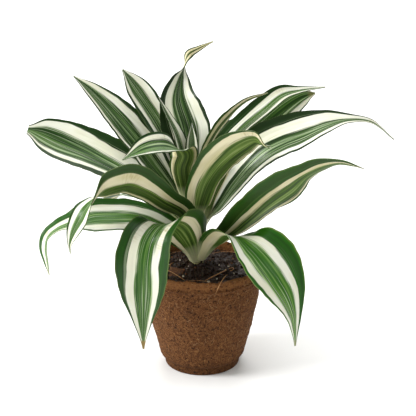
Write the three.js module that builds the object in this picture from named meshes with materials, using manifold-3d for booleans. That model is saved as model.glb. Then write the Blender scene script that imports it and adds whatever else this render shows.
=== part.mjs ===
// A potted dracaena: a short leafy shoot with white-banded, strap-shaped leaves in a moulded fibre pot.
// Millimetres, +Z up. The origin is the centre of the pot's flat underside, and the plant is seen from -Y.

import * as THREE from "three";
import { mergeVertices } from "three/addons/utils/BufferGeometryUtils.js";
import Module from "manifold-3d";

const wasm = await Module();
wasm.setup();

// ---------------------------------------------------------------- driving dimensions

const CLEARANCE = 0.3; // between pieces that touch

const POT = {
  height: 100,
  wall: 3.5,
  floor: 4,
  footRadius: 34.5,
  footHeight: 8, // the foot steps out to the wall here
  stepRadius: 39,
  bodyRadius: 54, // just under the lip
  lipRadius: 54.8,
  ridgeHeight: 90.5, // thin moulded ridge under the lip
  ridgeRadius: 55.3,
  segments: 40,
  wobble: 0.35, // hand-made unevenness of the wall
  wobbleFrom: 20, // height where the unevenness is full
  rimWobble: 0.7, // unevenness of the lip's height
};

const SOIL = {
  edgeHeight: 91,
  mound: 8, // how much higher the soil stands round the shoot
  moundSpread: 24,
  lump: 0.8,
  lumpSize: 3.8,
  rings: 7,
  segments: 36,
  base: POT.floor + CLEARANCE,
};

const STEM = {
  bottomRadius: 6,
  topRadius: 3.2,
  sides: 12,
  // centre line from inside the soil's hole to the growing tip
  path: [
    [-4, 1, 80],
    [-4, 1, 98],
    [-7, 2, 130],
    [-9, 3, 160],
    [-10, 4, 176],
  ],
  steps: 10,
};

const BLADE = {
  thickness: 0.8,
  station: 13, // wanted length between cross-sections
  fewest: 8, // stations in the shortest leaf
  most: 16, // and in the longest
  across: 4, // strips from margin to margin
  leastWidth: 1,
  claspAngle: 70, // half-angle of the gutter where a leaf clasps the shoot, degrees
  claspLength: 0.25, // share of the length over which the gutter opens
  farMargin: 0.37, // how far, in turns, the waves of one margin lead those of the other
};

const COLOUR = {
  fibre: "#7a5a40",
  soil: "#241812",
  stem: "#8d9a52",
  leaf: "#4c7034",
};

// Leaves, from the youngest to the oldest. Each midrib point is [x, y, z, compass, tilt, width]: the place in
// mm, the compass way (degrees from +X towards +Y) and upward tilt that the upper side faces there, and the
// width there. cup is the half-angle of the gutter along the blade, in degrees, and wave gives the height in
// mm, the number and the start (in turns) of the waves of the margins.
const LEAVES = [
  { name: "leaf_spear", cup: 40, wave: [0, 1, 0], midrib: [
    [-10, 4, 176.4, -90, 0, 7], [-9, 8, 195, -90, 4, 13], [-9, 11, 212, -90, 4, 11],
    [-9, 13, 227, -90, 4, 1]] },
  { name: "leaf_inner_upright", cup: 35, wave: [0.6, 1.5, 0.2], midrib: [
    [-13, 6, 169, -35, 0, 10], [-15, 9, 189, -45, 5, 14], [-22, 13, 215, -40, 8, 14],
    [-30, 18, 231, -35, 8, 10], [-39, 23, 248, -30, 5, 1.2]] },
  { name: "leaf_top_twisted", cup: 24, wave: [1, 1.5, 0.1], midrib: [
    [-10, 8, 159, -75, 0, 13], [-11, 14, 187, -88, 8, 31], [-14, 21, 218, -90, 12, 45],
    [-21, 30, 245, -88, 12, 34], [-19, 36, 262, -80, 10, 17], [-16, 39, 272, -10, 5, 6],
    [-12, 42, 282, 60, 0, 8], [-3, 44, 287, 80, -10, 5], [10, 46, 293, 85, -10, 1]] },
  { name: "leaf_upper_left_inner", cup: 26, wave: [1, 2, 0.3], midrib: [
    [-13, 7, 155, -45, 5, 12], [-20, 15, 184, -55, 15, 22], [-32, 26, 210, -60, 22, 28],
    [-46, 38, 231, -60, 25, 27], [-59, 46, 249, -60, 22, 24], [-65, 49, 257, -60, 20, 15],
    [-72, 51, 266, -60, 20, 2]] },
  { name: "leaf_centre_folded", cup: 28, wave: [0.8, 1.5, 0.4], midrib: [
    [-12, -4, 154, 90, 0, 10], [-15, -10, 174, 92, 2, 17], [-17, -15, 194, 95, 5, 23],
    [-15, -19, 207, 100, 25, 25], [-21, -25, 215, -120, 75, 24], [-33, -32, 222, -95, 50, 23],
    [-49, -37, 221, -95, 42, 19], [-68, -40, 210, -95, 40, 1]] },
  { name: "leaf_upper_right_edge", cup: 30, wave: [0.8, 2, 0.6], midrib: [
    [-5, 0, 161, 130, 0, 10], [1, 1, 198, 130, 5, 12], [11, 3, 220, 135, 10, 12], [25, 6, 237, 135, 18, 11],
    [40, 9, 249, 120, 28, 7], [58, 12, 255, 105, 30, 1.2]] },
  { name: "leaf_back_right_high", cup: 24, wave: [1.2, 2, 0.1], midrib: [
    [-6, 9, 150, -110, 0, 12], [3, 28, 174, -118, 15, 24], [22, 58, 195, -118, 40, 34],
    [46, 86, 202, -118, 68, 30], [70, 112, 190, 62, 75, 2]] },
  { name: "leaf_back_left_high", cup: 24, wave: [1.2, 2, 0.6], midrib: [
    [-10, 9, 147, -72, 0, 12], [-14, 27, 168, -68, 20, 24], [-25, 52, 187, -66, 45, 34],
    [-38, 82, 195, -66, 72, 30], [-50, 110, 184, 114, 75, 2]] },
  { name: "leaf_upper_right_long", cup: 26, wave: [1, 2, 0.9], midrib: [
    [-4, 6, 148, -135, 5, 12], [2, 7, 172, -112, 10, 16], [13, 8, 199, -108, 20, 17],
    [25, 12, 215, -105, 28, 19], [39, 17, 228, -102, 30, 19], [54, 22, 239, -100, 32, 19],
    [71, 28, 250, -98, 35, 15], [88, 33, 252, -96, 40, 7], [111, 38, 253, -95, 35, 1.2]] },
  { name: "leaf_upper_right_short", cup: 24, wave: [1.2, 2, 0.2], midrib: [
    [-3, 8, 146, -125, 5, 13], [16, 15, 176, -112, 18, 23], [43, 23, 208, -110, 24, 28],
    [61, 29, 223, -110, 26, 28], [78, 34, 236, -110, 26, 25], [91, 37, 244, -110, 24, 17],
    [102, 39, 247, -110, 20, 2]] },
  { name: "leaf_upper_left", cup: 26, wave: [1, 2, 0.5], midrib: [
    [-14, 7, 144, -25, 10, 13], [-24, 12, 166, -50, 30, 26], [-38, 20, 186, -65, 38, 38],
    [-58, 30, 209, -70, 38, 36], [-83, 39, 234, -70, 35, 26], [-100, 43, 249, -70, 32, 15],
    [-116, 46, 261, -70, 30, 1.5]] },
  { name: "leaf_back_middle", cup: 22, wave: [1.5, 1.5, 0.5], midrib: [
    [-8, 9, 138, -85, 5, 12], [-6, 28, 160, -85, 30, 26], [-3, 56, 177, -85, 65, 38],
    [0, 90, 172, 95, 68, 34], [3, 122, 144, 95, 48, 2]] },
  { name: "leaf_centre_curled", cup: 26, wave: [0.8, 1.5, 0.7], midrib: [
    [-6, -6, 136, 98, 0, 15], [-3, -12, 158, 100, 2, 24], [3, -19, 182, 108, 5, 33],
    [16, -27, 205, 112, 10, 38], [34, -34, 221, 112, 18, 35], [46, -39, 227, 110, 32, 24],
    [54, -43, 223, 60, 70, 9], [59, -41, 222, -90, 40, 2]] },
  { name: "leaf_back_left_mid", cup: 22, wave: [1.5, 2, 0.2], midrib: [
    [-13, 8, 138, -40, 5, 12], [-22, 21, 157, -40, 30, 24], [-43, 41, 174, -40, 52, 32],
    [-70, 61, 180, -40, 72, 28], [-97, 79, 174, 140, 85, 2]] },
  { name: "leaf_back_right_mid", cup: 22, wave: [1.5, 2, 0.7], midrib: [
    [-3, 8, 138, -130, 5, 12], [8, 22, 160, -132, 25, 24], [30, 44, 181, -135, 45, 32],
    [56, 65, 190, -135, 62, 28], [84, 85, 184, 45, 85, 2]] },
  { name: "leaf_right_arch", cup: 22, wave: [2, 2.5, 0.1], midrib: [
    [0, 0, 134, 172, 0, 13], [12, -5, 157, -125, 15, 24], [27, -9, 184, -106, 28, 32],
    [50, -12, 211, -100, 36, 37], [69, -13, 222, -98, 38, 36], [87, -14, 229, -98, 38, 35],
    [110, -16, 237, -96, 38, 22], [127, -18, 240, -96, 42, 9], [147, -19, 238, -80, 45, 3.5],
    [167, -20, 222, -70, 35, 1]] },
  { name: "leaf_right_inner", cup: 26, wave: [0.8, 2, 0.4], midrib: [
    [1, -3, 131, 150, 0, 11], [6, -6, 150, 120, 4, 14], [11, -7, 167, 110, 6, 14],
    [18, -8, 181, 108, 8, 11], [25, -9, 194, 108, 10, 1.5]] },
  { name: "leaf_far_left", cup: 22, wave: [1, 1.5, 0.3], midrib: [
    [-13, 4, 136, -10, 10, 13], [-27, 8, 155, -60, 40, 26], [-47, 11, 171, -80, 48, 36],
    [-74, 16, 187, -85, 48, 42], [-101, 21, 198, -85, 45, 43], [-128, 24, 207, -85, 42, 40],
    [-144, 25, 213, -85, 40, 30], [-157, 25, 217, -85, 40, 9]] },
  { name: "leaf_left_folded", cup: 24, wave: [1, 1.5, 0.6], midrib: [
    [-9, -5, 127, 70, 0, 14], [-16, -15, 151, 80, 5, 24], [-31, -27, 166, 88, 12, 27],
    [-46, -37, 181, 90, 22, 32], [-63, -45, 191, 92, 32, 42], [-82, -53, 187, 100, 42, 40],
    [-94, -60, 178, 170, 60, 30], [-103, -63, 166, -125, 45, 23], [-111, -61, 150, -110, 30, 12],
    [-114, -59, 139, -105, 20, 4], [-114, -57, 130, -105, 15, 1]] },
  { name: "leaf_right_under", cup: 24, wave: [1.5, 2.5, 0.1], midrib: [
    [0, 4, 126, -165, 0, 12], [16, 7, 152, 120, 20, 20], [32, 11, 172, 105, 30, 24],
    [47, 14, 186, 100, 35, 22], [62, 16, 198, 100, 30, 2]] },
  { name: "leaf_back_right_low", cup: 22, wave: [1.5, 1.5, 0.9], midrib: [
    [-3, 8, 126, -120, 5, 13], [3, 22, 140, -112, 30, 22], [10, 38, 149, -112, 62, 26],
    [16, 53, 150, 68, 85, 22], [21, 66, 145, 68, 70, 2]] },
  { name: "leaf_right_low", cup: 24, wave: [2, 2.5, 0.3], midrib: [
    [1, -3, 119, 135, 0, 14], [19, -11, 128, 110, 12, 20], [37, -19, 147, 103, 14, 32],
    [56, -27, 167, 102, 18, 40], [75, -33, 183, 102, 22, 37], [88, -37, 195, 104, 26, 25],
    [103, -40, 204, 106, 30, 24], [119, -42, 208, 110, 40, 10], [130, -43, 206, 90, 50, 4],
    [139, -43, 203, 60, 60, 1]] },
  { name: "leaf_back_left_low", cup: 22, wave: [1.5, 1.5, 0.3], midrib: [
    [-11, 7, 122, -40, 5, 13], [-25, 20, 139, -38, 35, 28], [-52, 40, 149, -36, 70, 38],
    [-82, 60, 139, 144, 68, 32], [-104, 75, 104, 144, 35, 2]] },
  { name: "leaf_left_low", cup: 22, wave: [1.5, 2, 0.8], midrib: [
    [-11, -2, 114, 32, 10, 14], [-28, -8, 132, -62, 50, 26], [-54, -20, 149, -85, 60, 36],
    [-79, -32, 155, -90, 62, 38], [-97, -38, 156, -95, 52, 33], [-114, -42, 153, -122, 70, 26],
    [-126, -44, 149, -135, 68, 22], [-135, -44, 141, -150, 50, 20], [-138, -44, 130, -145, 20, 16],
    [-137, -43, 118, -140, 5, 9], [-135, -41, 103, -140, 0, 1]] },
  { name: "leaf_back_hanging", cup: 22, wave: [1.2, 1.5, 0.6], midrib: [
    [-6, 8, 112, -80, 10, 14], [-11, 27, 131, -75, 45, 30], [-14, 56, 133, 105, 72, 40],
    [-17, 78, 106, 105, 25, 34], [-19, 86, 56, 105, 5, 2]] },
  { name: "leaf_front_left", cup: 22, wave: [1.2, 1.5, 0.2], midrib: [
    [-4, -6, 101, 100, 5, 17], [-8, -16, 123, 112, 18, 35], [-15, -28, 141, 118, 28, 46],
    [-26, -40, 151, 125, 52, 47], [-37, -51, 153, -140, 75, 45], [-46, -60, 144, -98, 50, 45],
    [-51, -65, 125, -92, 24, 48], [-52, -65, 99, -90, 8, 40], [-52, -62, 67, -90, 2, 17],
    [-52, -58, 39, -90, 0, 1.5]] },
  { name: "leaf_front_right", cup: 22, wave: [1.2, 1.5, 0.7], midrib: [
    [1, -5, 102, 130, 0, 17], [11, -16, 122, 112, 18, 30], [22, -27, 134, 108, 38, 38],
    [34, -38, 137, 95, 70, 44], [46, -47, 133, -70, 54, 49], [59, -55, 121, -62, 34, 55],
    [72, -58, 100, -60, 20, 45], [80, -58, 74, -60, 10, 20], [82, -57, 57, -60, 5, 8],
    [83, -56, 41, -60, 5, 1.5]] },
];

// ---------------------------------------------------------------- helpers

const degrees = THREE.MathUtils.degToRad;
const mix = THREE.MathUtils.lerp;
const TURN = 2 * Math.PI;

/** A closed geometry from a flat list of points and of triangle corners. */
function closedGeometry(positions, triangles) {
  const geometry = new THREE.BufferGeometry();
  geometry.setAttribute("position", new THREE.Float32BufferAttribute(positions, 3));
  geometry.setIndex(triangles);
  geometry.computeVertexNormals();
  return geometry;
}

/** The geometry as a solid that can be joined and cut. */
function toSolid(geometry) {
  const bare = geometry.clone();
  bare.deleteAttribute("normal");
  bare.deleteAttribute("uv");
  const merged = mergeVertices(bare, 1e-4);
  return new wasm.Manifold(
    new wasm.Mesh({
      numProp: 3,
      vertProperties: new Float32Array(merged.attributes.position.array),
      triVerts: new Uint32Array(merged.index.array),
    }),
  );
}

/** The solid's surface as a geometry with normals. */
function toGeometry(solid) {
  const mesh = solid.getMesh();
  return closedGeometry(Array.from(mesh.vertProperties), Array.from(mesh.triVerts));
}

/** The largest body of a solid: a scrap that a cut left loose is dropped. */
function largestBody(solid) {
  return solid.decompose().reduce((best, body) => (body.volume() > best.volume() ? body : best));
}

/** A named mesh in a plain finish. */
function piece(name, geometry, color, roughness) {
  const mesh = new THREE.Mesh(geometry, new THREE.MeshStandardMaterial({ color, roughness, metalness: 0 }));
  mesh.name = name;
  return mesh;
}

// ---------------------------------------------------------------- pot

/** How far the wall stands out of round at an angle and height; nothing at the flat base. */
function wallWobble(angle, z) {
  const share = Math.min(1, z / POT.wobbleFrom);
  const slow = Math.sin(2 * angle + 0.6) + 0.6 * Math.sin(5 * angle + z / 17);
  return POT.wobble * share * slow;
}

/** How much the lip stands above or below its height at an angle. */
function rimRise(angle) {
  return POT.rimWobble * (0.6 * Math.sin(3 * angle + 1) + 0.4 * Math.sin(7 * angle + 2));
}

/** Outer wall, from the flat base up to the lip, as [radius, height]. */
const OUTER_WALL = [
  [POT.footRadius - 1, 0],
  [POT.footRadius, 1],
  [POT.footRadius + 0.8, POT.footHeight],
  [POT.stepRadius - 2, POT.footHeight + 1],
  [POT.stepRadius, POT.footHeight + 3],
  [40.5, 18],
  [46, 40],
  [51.5, 64],
  [POT.bodyRadius, POT.ridgeHeight - 2],
  [POT.ridgeRadius, POT.ridgeHeight],
  [POT.lipRadius - 0.6, POT.ridgeHeight + 1.5],
  [POT.lipRadius, POT.height - 2],
  [POT.lipRadius - 1.4, POT.height],
];

/** Inner wall, from the floor up to the lip, as [radius, height]. */
const INNER_WALL = [
  [POT.stepRadius - POT.wall - 2, POT.floor],
  [POT.stepRadius - POT.wall + 1.5, 16],
  [46 - POT.wall, 40],
  [51.5 - POT.wall, 64],
  [POT.bodyRadius - POT.wall, POT.ridgeHeight],
  [POT.lipRadius - POT.wall, POT.height - 1],
];

/** Inner wall radius at a height, before the wobble. */
function innerRadius(z) {
  const above = Math.max(1, INNER_WALL.findIndex(([, height]) => height >= z));
  const [r1, z1] = INNER_WALL[above];
  const [r0, z0] = INNER_WALL[above - 1];
  return mix(r0, r1, (z - z0) / (z1 - z0));
}

/** Moves a turned surface out of round, and its lip up and down. */
function roughen(geometry) {
  const place = geometry.attributes.position;
  for (let i = 0; i < place.count; i += 1) {
    const [x, y, z] = [place.getX(i), place.getY(i), place.getZ(i)];
    const radius = Math.hypot(x, y);
    if (radius < 1 || z < POT.floor + 1) continue;
    const angle = Math.atan2(y, x);
    const scale = 1 + wallWobble(angle, z) / radius;
    const lift = z > POT.ridgeHeight + 3 ? rimRise(angle) : 0;
    place.setXYZ(i, x * scale, y * scale, z + lift);
  }
  return geometry;
}

/** The moulded fibre pot: one turned shell with a foot, a ridge and an uneven lip. */
function fibrePot() {
  const profile = [
    [0, 0],
    ...OUTER_WALL,
    [POT.lipRadius - POT.wall + 1, POT.height],
    ...[...INNER_WALL].reverse(),
    [0, POT.floor],
  ].map(([r, z]) => new THREE.Vector2(r, z));
  const turned = new THREE.LatheGeometry(profile, POT.segments).rotateX(Math.PI / 2);
  return roughen(turned);
}

// ---------------------------------------------------------------- soil and stem

/** Height of the lumpy soil at a place. */
function soilHeight(x, y) {
  const radius = Math.hypot(x - STEM.path[0][0], y - STEM.path[0][1]);
  const rise = SOIL.mound * Math.exp(-((radius / SOIL.moundSpread) ** 2));
  const size = SOIL.lumpSize;
  const lumps = Math.sin(x / size + 1) * Math.cos(y / size) + 0.6 * Math.sin((1.3 * (x - y)) / size);
  return SOIL.edgeHeight + rise + SOIL.lump * lumps;
}

/** The soil: it fills the pot and is mounded a little round the shoot. */
function soilGeometry() {
  const positions = [];
  const triangles = [];
  const heights = [SOIL.base, 16, 40, 64];
  const ring = (radiusAt, heightAt) => {
    for (let k = 0; k < SOIL.segments; k += 1) {
      const angle = (TURN * k) / SOIL.segments;
      const radius = radiusAt(angle);
      const [x, y] = [radius * Math.cos(angle), radius * Math.sin(angle)];
      positions.push(x, y, heightAt(x, y));
    }
  };
  const wallAt = (z) => (angle) => innerRadius(z) + wallWobble(angle, z) - 3 * CLEARANCE;
  heights.forEach((z) => ring(wallAt(z), () => z));
  for (let k = SOIL.rings; k >= 1; k -= 1) {
    ring((angle) => (wallAt(SOIL.edgeHeight)(angle) * k) / SOIL.rings, soilHeight);
  }
  const rings = heights.length + SOIL.rings;
  for (let row = 0; row < rings - 1; row += 1) {
    for (let k = 0; k < SOIL.segments; k += 1) {
      const next = (k + 1) % SOIL.segments;
      const [a, b] = [row * SOIL.segments + k, row * SOIL.segments + next];
      const [c, d] = [a + SOIL.segments, b + SOIL.segments];
      triangles.push(a, b, d, a, d, c);
    }
  }
  const bottom = positions.length / 3;
  positions.push(0, 0, SOIL.base);
  positions.push(0, 0, soilHeight(0, 0));
  const lastRing = (rings - 1) * SOIL.segments;
  for (let k = 0; k < SOIL.segments; k += 1) {
    const next = (k + 1) % SOIL.segments;
    triangles.push(bottom, next, k);
    triangles.push(bottom + 1, lastRing + k, lastRing + next);
  }
  return closedGeometry(positions, triangles);
}

/** A round shaft along a line of points, its radius going from one size to another. */
function shaft(points, startRadius, endRadius, steps, sides) {
  const line = new THREE.CatmullRomCurve3(points.map((p) => new THREE.Vector3(...p)));
  const positions = [];
  const triangles = [];
  for (let i = 0; i <= steps; i += 1) {
    const centre = line.getPointAt(i / steps);
    const radius = mix(startRadius, endRadius, i / steps);
    for (let k = 0; k < sides; k += 1) {
      const angle = (TURN * k) / sides;
      positions.push(centre.x + radius * Math.cos(angle), centre.y + radius * Math.sin(angle), centre.z);
    }
  }
  for (let i = 0; i < steps; i += 1) {
    for (let k = 0; k < sides; k += 1) {
      const next = (k + 1) % sides;
      const [a, b] = [i * sides + k, i * sides + next];
      triangles.push(a, b, b + sides, a, b + sides, a + sides);
    }
  }
  for (let k = 1; k < sides - 1; k += 1) {
    triangles.push(0, k + 1, k);
    triangles.push(steps * sides, steps * sides + k, steps * sides + k + 1);
  }
  return closedGeometry(positions, triangles);
}

/** The stem, or the room that it needs with a gap all round. */
function stemShaft(gap) {
  return shaft(STEM.path, STEM.bottomRadius + gap, STEM.topRadius + gap, STEM.steps, STEM.sides);
}

/** The plain hole that the stem stands in. */
function socket() {
  const [foot, collar] = STEM.path;
  const radius = STEM.bottomRadius + CLEARANCE;
  const ends = [
    [foot[0], foot[1], foot[2] - CLEARANCE],
    [collar[0], collar[1], POT.height + 10],
  ];
  return shaft(ends, radius, radius, 1, STEM.sides);
}

// ---------------------------------------------------------------- leaves

/** The width at a place between two midrib points, on a smooth line through all their widths. */
function widthAt(midrib, key) {
  const width = (i) => midrib[THREE.MathUtils.clamp(i, 0, midrib.length - 1)][5];
  const i = Math.floor(key);
  const s = key - i;
  const [before, from, to, after] = [width(i - 1), width(i), width(i + 1), width(i + 2)];
  const slope0 = (to - before) / 2;
  const slope1 = (after - from) / 2;
  const cubic = (2 * from - 2 * to + slope0 + slope1) * s ** 3
    + (3 * to - 3 * from - 2 * slope0 - slope1) * s ** 2;
  return Math.max(BLADE.leastWidth, cubic + slope0 * s + from);
}

/** The way the upper side faces, from a compass angle and a tilt. */
function facing(compass, tilt) {
  const flat = Math.cos(degrees(tilt));
  return new THREE.Vector3(
    flat * Math.cos(degrees(compass)),
    flat * Math.sin(degrees(compass)),
    Math.sin(degrees(tilt)),
  );
}

/** Points of the blade's middle surface: a row from margin to margin for each station. gap widens it all round. */
function bladeRows(leaf, gap) {
  const curve = new THREE.CatmullRomCurve3(leaf.midrib.map(([x, y, z]) => new THREE.Vector3(x, y, z)));
  const faces = leaf.midrib.map(([, , , compass, tilt]) => facing(compass, tilt));
  const wanted = Math.round(curve.getLength() / BLADE.station);
  const last = THREE.MathUtils.clamp(wanted, BLADE.fewest, BLADE.most);
  const rows = [];
  for (let i = 0; i <= last; i += 1) {
    const u = i / last;
    const t = curve.getUtoTmapping(u);
    const centre = curve.getPoint(t);
    const along = curve.getTangent(t);
    if (i === 0) centre.addScaledVector(along, -gap);
    if (i === last) centre.addScaledVector(along, gap);
    const key = Math.min(t * (faces.length - 1), faces.length - 1 - 1e-9);
    const up = faces[Math.floor(key)].clone().lerp(faces[Math.floor(key) + 1], key % 1);
    up.addScaledVector(along, -up.dot(along)).normalize();
    const side = new THREE.Vector3().crossVectors(along, up);
    const half = widthAt(leaf.midrib, key) / 2;
    const open = THREE.MathUtils.smoothstep(u, 0, BLADE.claspLength);
    const gutter = degrees(mix(BLADE.claspAngle, leaf.cup, open));
    const [height, count, start] = leaf.wave;
    const row = [];
    for (let k = 0; k <= BLADE.across; k += 1) {
      const v = (2 * k) / BLADE.across - 1;
      const wave = Math.sin(TURN * (count * u + start + (v > 0 ? BLADE.farMargin : 0)));
      const ripple = height * v * v * Math.sin(Math.PI * u) * wave;
      const sideways = (half * Math.sin(gutter * v)) / gutter;
      const lift = (half * (1 - Math.cos(gutter * v))) / gutter;
      row.push(centre.clone().addScaledVector(side, sideways).addScaledVector(up, lift + ripple));
    }
    widen(row, gap);
    rows.push(row);
  }
  return rows;
}

/** Moves the two margins of a row outwards by a gap. */
function widen(row, gap) {
  const outwards = (edge, inner) => row[edge].clone().sub(row[inner]).normalize();
  const [near, far] = [outwards(0, 1), outwards(row.length - 1, row.length - 2)];
  row[0].addScaledVector(near, gap);
  row[row.length - 1].addScaledVector(far, gap);
}

/** The blade as a thin closed solid, split into triangles alike on both faces, with a gap added all round. */
function bladeSolid(leaf, gap) {
  const rows = bladeRows(leaf, gap);
  const [last, wide] = [rows.length - 1, BLADE.across];
  const offset = BLADE.thickness / 2 + gap;
  const upper = [];
  const lower = [];
  for (let i = 0; i <= last; i += 1) {
    for (let k = 0; k <= wide; k += 1) {
      const ahead = rows[Math.min(i + 1, last)][k].clone().sub(rows[Math.max(i - 1, 0)][k]);
      const aside = rows[i][Math.min(k + 1, wide)].clone().sub(rows[i][Math.max(k - 1, 0)]);
      const normal = aside.cross(ahead).normalize();
      upper.push(...rows[i][k].clone().addScaledVector(normal, offset));
      lower.push(...rows[i][k].clone().addScaledVector(normal, -offset));
    }
  }
  const count = (last + 1) * (wide + 1);
  const at = (i, k) => i * (wide + 1) + k;
  const triangles = [];
  for (let i = 0; i < last; i += 1) {
    for (let k = 0; k < wide; k += 1) {
      const [a, b, c, d] = [at(i, k), at(i, k + 1), at(i + 1, k), at(i + 1, k + 1)];
      triangles.push(a, b, d, a, d, c);
      triangles.push(count + a, count + d, count + b, count + a, count + c, count + d);
    }
  }
  const wall = (a, b) => triangles.push(a, count + a, count + b, a, count + b, b);
  for (let k = 0; k < wide; k += 1) {
    wall(at(0, k), at(0, k + 1));
    wall(at(last, k + 1), at(last, k));
  }
  for (let i = 0; i < last; i += 1) {
    wall(at(i + 1, 0), at(i, 0));
    wall(at(i, wide), at(i + 1, wide));
  }
  return toSolid(closedGeometry([...upper, ...lower], triangles));
}

// ---------------------------------------------------------------- assembly

const plant = new THREE.Group();

plant.add(piece("fibre_pot", fibrePot(), COLOUR.fibre, 0.95));

const soil = toSolid(soilGeometry()).subtract(toSolid(socket()));
plant.add(piece("potting_soil", toGeometry(largestBody(soil)), COLOUR.soil, 1));

plant.add(piece("stem", stemShaft(0), COLOUR.stem, 0.6));

// Where leaves press on each other at the crown, the older one gives way to the younger ones and the stem.
let taken = toSolid(stemShaft(CLEARANCE));
LEAVES.forEach((leaf) => {
  const blade = largestBody(bladeSolid(leaf, 0).subtract(taken));
  plant.add(piece(leaf.name, toGeometry(blade), COLOUR.leaf, 0.45));
  taken = taken.add(bladeSolid(leaf, CLEARANCE));
});

export default plant;
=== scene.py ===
"""A young dracaena with cream-banded leaves, in soil in a moulded fibre pot.

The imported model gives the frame. Each of its nodes is replaced by a finer piece of the same form, and the
loose grains, chips, strands and fibres are added. Lengths are in millimetres and turned to metres by MM.
"""

import logging
import math
import random
from dataclasses import dataclass, field
from enum import Enum

import bpy
import numpy as np
from bpy.types import Material, Node, NodeSocket, NodeTree, Object
from mathutils import Matrix, Vector, noise


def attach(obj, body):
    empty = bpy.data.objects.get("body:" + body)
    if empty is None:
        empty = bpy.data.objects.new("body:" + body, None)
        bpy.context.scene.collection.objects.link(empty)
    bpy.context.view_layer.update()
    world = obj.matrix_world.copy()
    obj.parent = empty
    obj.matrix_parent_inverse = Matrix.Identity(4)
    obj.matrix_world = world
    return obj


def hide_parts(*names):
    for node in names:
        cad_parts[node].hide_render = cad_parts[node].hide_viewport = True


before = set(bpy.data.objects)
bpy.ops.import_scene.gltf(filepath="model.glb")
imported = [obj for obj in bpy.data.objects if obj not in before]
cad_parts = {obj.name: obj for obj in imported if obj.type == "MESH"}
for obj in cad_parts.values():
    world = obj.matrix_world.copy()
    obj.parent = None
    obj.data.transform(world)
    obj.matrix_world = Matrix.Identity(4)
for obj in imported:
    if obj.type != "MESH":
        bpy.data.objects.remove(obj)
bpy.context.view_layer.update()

logging.basicConfig(level=logging.INFO, format="%(message)s")
LOG = logging.getLogger("dracaena")

MM = 0.001
BODY = "root"

Point = tuple[float, float, float]
Station = tuple[float, float, float, float, float, float]
BandRow = tuple[float, float, float, float, float]
Layer = tuple[float, float, float]  # height, size and offset of one layer of noise
Feed = float | str | Node | NodeSocket  # a value, a hex colour, or what feeds an input


class Slot(Enum):
    """The record's material slots."""

    FIBRE = "moulded_fibre"
    SOIL = "soil"
    SHOOT = "shoot"
    LEAF = "leaf"


class Side(Enum):
    """The two sides of a leaf."""

    UPPER = "upper"
    UNDER = "under"


# ---------------------------------------------------------------- helpers


def linear(colour: str) -> tuple[float, float, float, float]:
    """Turns an sRGB hex colour to linear light.

    Args:
        colour: The colour, such as "#f2f4e2".

    Returns:
        Red, green, blue and a full alpha.
    """
    parts = [int(colour[i : i + 2], 16) / 255 for i in (1, 3, 5)]
    light = [c / 12.92 if c <= 0.04045 else ((c + 0.055) / 1.055) ** 2.4 for c in parts]
    return (*light, 1.0)


def add_node(tree: NodeTree, kind: str, values: dict | None = None, **settings) -> Node:
    """Adds a node with its settings, values and links.

    Args:
        tree: The material's node tree.
        kind: The node's type, without its "ShaderNode" beginning.
        values: For each input, by name or number, what feeds it.
        **settings: Properties of the node.

    Returns:
        The new node.
    """
    node = tree.nodes.new("ShaderNode" + kind)
    for key, value in settings.items():
        setattr(node, key, value)
    for key, value in (values or {}).items():
        if isinstance(value, Node):
            value = next(o for o in value.outputs if o.enabled)
        if isinstance(value, NodeSocket):
            tree.links.new(value, node.inputs[key])
        else:
            node.inputs[key].default_value = linear(value) if isinstance(value, str) else value
    return node


def new_material(name: str) -> tuple[Material, NodeTree]:
    """Starts an empty node material, and gives it and its node tree."""
    material = bpy.data.materials.new(name)
    material.use_nodes = True
    material.node_tree.nodes.clear()
    return material, material.node_tree


def shade(tree: NodeTree, values: dict) -> None:
    """Ends a material with a Principled shader that has these inputs."""
    add_node(tree, "OutputMaterial", {"Surface": add_node(tree, "BsdfPrincipled", values)})


def ramp(tree: NodeTree, factor: Feed, stops: list[tuple[float, str]]) -> Node:
    """Adds a colour ramp.

    Args:
        tree: The material's node tree.
        factor: The node or output that drives it.
        stops: Places from 0 to 1, each with its hex colour, in rising order.

    Returns:
        The ramp node.
    """
    node = add_node(tree, "ValToRGB", {"Fac": factor})
    elements = node.color_ramp.elements
    elements[0].position, elements[0].color = stops[0][0], linear(stops[0][1])
    elements[1].position, elements[1].color = stops[-1][0], linear(stops[-1][1])
    for place, colour in stops[1:-1]:
        elements.new(place).color = linear(colour)
    return node


def blend(tree: NodeTree, factor: Feed, first: Feed, second: Feed) -> Node:
    """Mixes two colours, each a hex colour, a node or an output, by a factor."""
    return add_node(tree, "Mix", {0: factor, 6: first, 7: second}, data_type="RGBA")


def rise(tree: NodeTree, value: Feed, low: float, high: float, top: float = 1.0) -> Node:
    """Gives 0 below low, top above high and a smooth rise between them."""
    settings = {"Value": value, "From Min": low, "From Max": high, "To Max": top}
    return add_node(tree, "MapRange", settings, interpolation_type="SMOOTHSTEP")


def product(tree: NodeTree, first: Feed, second: Feed) -> Node:
    """Multiplies two values."""
    return add_node(tree, "Math", {0: first, 1: second}, operation="MULTIPLY")


def speckle(tree: NodeTree, place: Feed, size: float, detail: float = 3.0, **values: float) -> Node:
    """Noise with grains about size apart, in the place's unit; values are more inputs, such as Roughness."""
    return add_node(tree, "TexNoise", {"Vector": place, "Scale": 1 / size, "Detail": detail, **values})


def deselect() -> None:
    """Leaves edit mode if needed and deselects every object."""
    if bpy.context.object and bpy.context.object.mode != "OBJECT":
        bpy.ops.object.mode_set(mode="OBJECT")
    bpy.ops.object.select_all(action="DESELECT")


def choose(piece: Object) -> None:
    """Makes one object the only selected and the active one."""
    deselect()
    piece.select_set(True)
    bpy.context.view_layer.objects.active = piece


def newest(name: str) -> Object:
    """Names the object that was just added, and its mesh."""
    piece = bpy.context.object
    piece.name = piece.data.name = name
    return piece


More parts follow.
